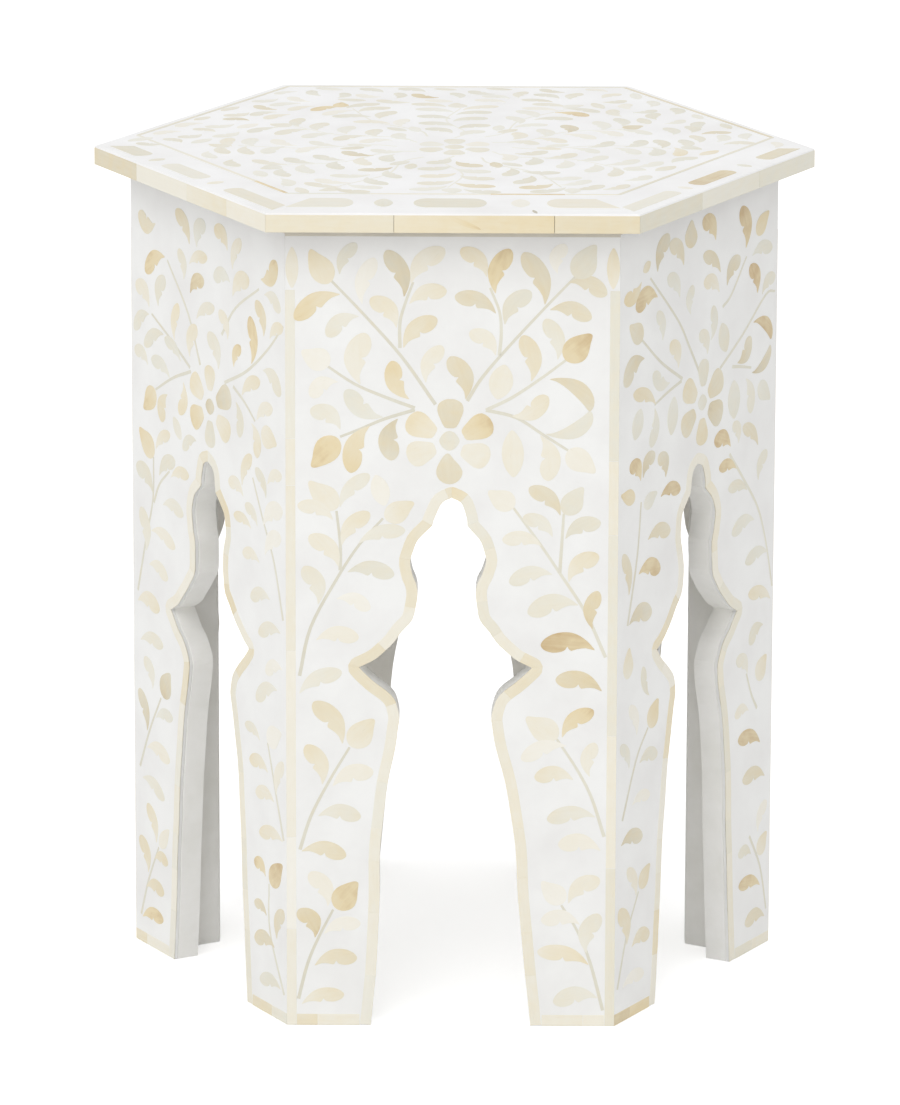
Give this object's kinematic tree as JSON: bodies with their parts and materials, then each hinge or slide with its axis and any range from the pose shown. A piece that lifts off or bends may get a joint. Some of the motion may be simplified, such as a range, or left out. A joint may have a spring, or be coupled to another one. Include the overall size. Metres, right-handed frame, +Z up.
{
  "type": "hexagonal stool",
  "caption": "Hexagonal side stool with an overhanging top on arched panels, faced in white resin with inlaid bone leaves and bone edge strips.",
  "frame": {"origin": "on the floor under the middle of the stool", "axes": "+Z up; the front panel faces -Y; +X runs through the right-hand corner of the hexagon"},
  "size_m": [0.396, 0.3432, 0.4576],
  "materials": {
    "resin": "satin, sanded flush with the bone",
    "bone": "satin, cream to amber pieces of cut bone",
    "painted_wood": "matt taupe paint",
    "bare_wood": "sawn, unfinished",
    "steel": "zinc plated"
  },
  "bodies": {
    "root": {"top_board": "painted_wood", "top_inlay_face": "resin", "front_panel_board": "painted_wood", "front_resin_face": "resin", "front_arch_lining": "bone", "front_foot_strip_left": "bone", "front_corner_strip_left": "bone", "front_foot_strip_right": "bone", "front_corner_strip_right": "bone", "front_top_edge": "bone", "front_right_panel_board": "painted_wood", "front_right_resin_face": "resin", "front_right_arch_lining": "bone", "front_right_foot_strip_left": "bone", "front_right_foot_strip_right": "bone", "front_right_top_edge": "bone", "back_right_panel_board": "painted_wood", "back_right_resin_face": "resin", "back_right_arch_lining": "bone", "back_right_foot_strip_left": "bone", "back_right_corner_strip_left": "bone", "back_right_foot_strip_right": "bone", "back_right_corner_strip_right": "bone", "back_right_top_edge": "bone", "back_panel_board": "painted_wood", "back_resin_face": "resin", "back_arch_lining": "bone", "back_foot_strip_left": "bone", "back_foot_strip_right": "bone", "back_top_edge": "bone", "back_left_panel_board": "painted_wood", "back_left_resin_face": "resin", "back_left_arch_lining": "bone", "back_left_foot_strip_left": "bone", "back_left_corner_strip_left": "bone", "back_left_foot_strip_right": "bone", "back_left_corner_strip_right": "bone", "back_left_top_edge": "bone", "front_left_panel_board": "painted_wood", "front_left_resin_face": "resin", "front_left_arch_lining": "bone", "front_left_foot_strip_left": "bone", "front_left_foot_strip_right": "bone", "front_left_top_edge": "bone", "front_to_front_right_corner_block": "bare_wood", "front_to_front_right_top_screw": "steel", "front_right_to_back_right_corner_block": "bare_wood", "front_right_to_back_right_top_screw": "steel", "back_right_to_back_corner_block": "bare_wood", "back_right_to_back_top_screw": "steel", "back_to_back_left_corner_block": "bare_wood", "back_to_back_left_top_screw": "steel", "back_left_to_front_left_corner_block": "bare_wood", "back_left_to_front_left_top_screw": "steel", "front_left_to_front_corner_block": "bare_wood", "front_left_to_front_top_screw": "steel"}
  },
  "joints": []
}
